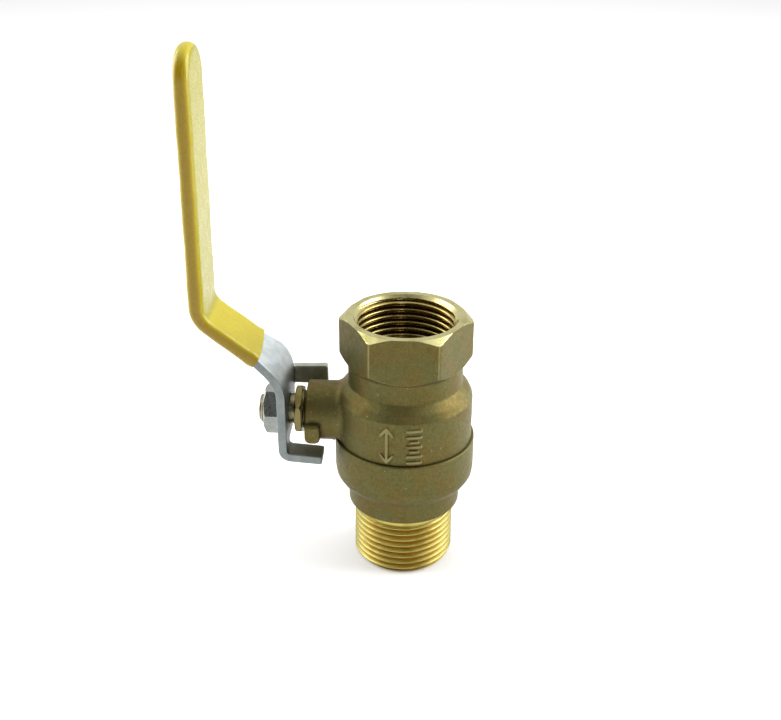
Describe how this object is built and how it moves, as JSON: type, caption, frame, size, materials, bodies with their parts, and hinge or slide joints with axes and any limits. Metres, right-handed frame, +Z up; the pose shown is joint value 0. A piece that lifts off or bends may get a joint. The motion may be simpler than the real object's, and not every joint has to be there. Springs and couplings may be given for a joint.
{
  "type": "ball valve",
  "caption": "Quarter-turn ball valve: brass body with a female-threaded hexagon end, male-threaded end connector and a bent strip lever with a dipped plastic grip.",
  "frame": {"origin": "centre of the male thread's end face, on the flow axis", "axes": "+Z up the flow axis from the male end to the female end, -X out along the stem towards the lever plate, -Y the side the lever swings to when it closes"},
  "size_m": [0.0716, 0.0366, 0.1355],
  "materials": {
    "forged_brass": "sandblasted forging skin with machined ends",
    "turned_brass": "turned",
    "chrome": "polished chrome plate",
    "ptfe": "plain white PTFE",
    "rubber": "black nitrile",
    "zinc_steel": "zinc-plated strip",
    "nut_steel": "zinc-plated nut",
    "grip_pvc": "dipped yellow vinyl"
  },
  "bodies": {
    "housing": {"valve_body": "forged_brass", "end_connector": "forged_brass", "body_joint_seal": "ptfe", "seat_upper": "ptfe", "seat_lower": "ptfe", "stem_thrust_washer": "ptfe", "stem_packing_inner": "ptfe", "stem_packing_outer": "ptfe", "gland_nut": "turned_brass"},
    "handle": {"stem": "turned_brass", "stem_o_ring": "rubber", "lever": "zinc_steel", "grip_sleeve": "grip_pvc", "lever_nut": "nut_steel"},
    "ball": {"ball": "chrome"}
  },
  "joints": [
    {"name": "lever_turn", "type": "hinge", "parent": "housing", "child": "handle", "pos_m": [0, 0, 0.0423], "axis": [1, 0, 0], "range_deg": [0, 90]},
    {"name": "ball_turn", "type": "hinge", "parent": "housing", "child": "ball", "pos_m": [0, 0, 0.0423], "axis": [1, 0, 0], "range_deg": [0, 90]}
  ],
  "couplings": [
    {"joint": "ball_turn", "follows": "lever_turn", "ratio": 1}
  ]
}
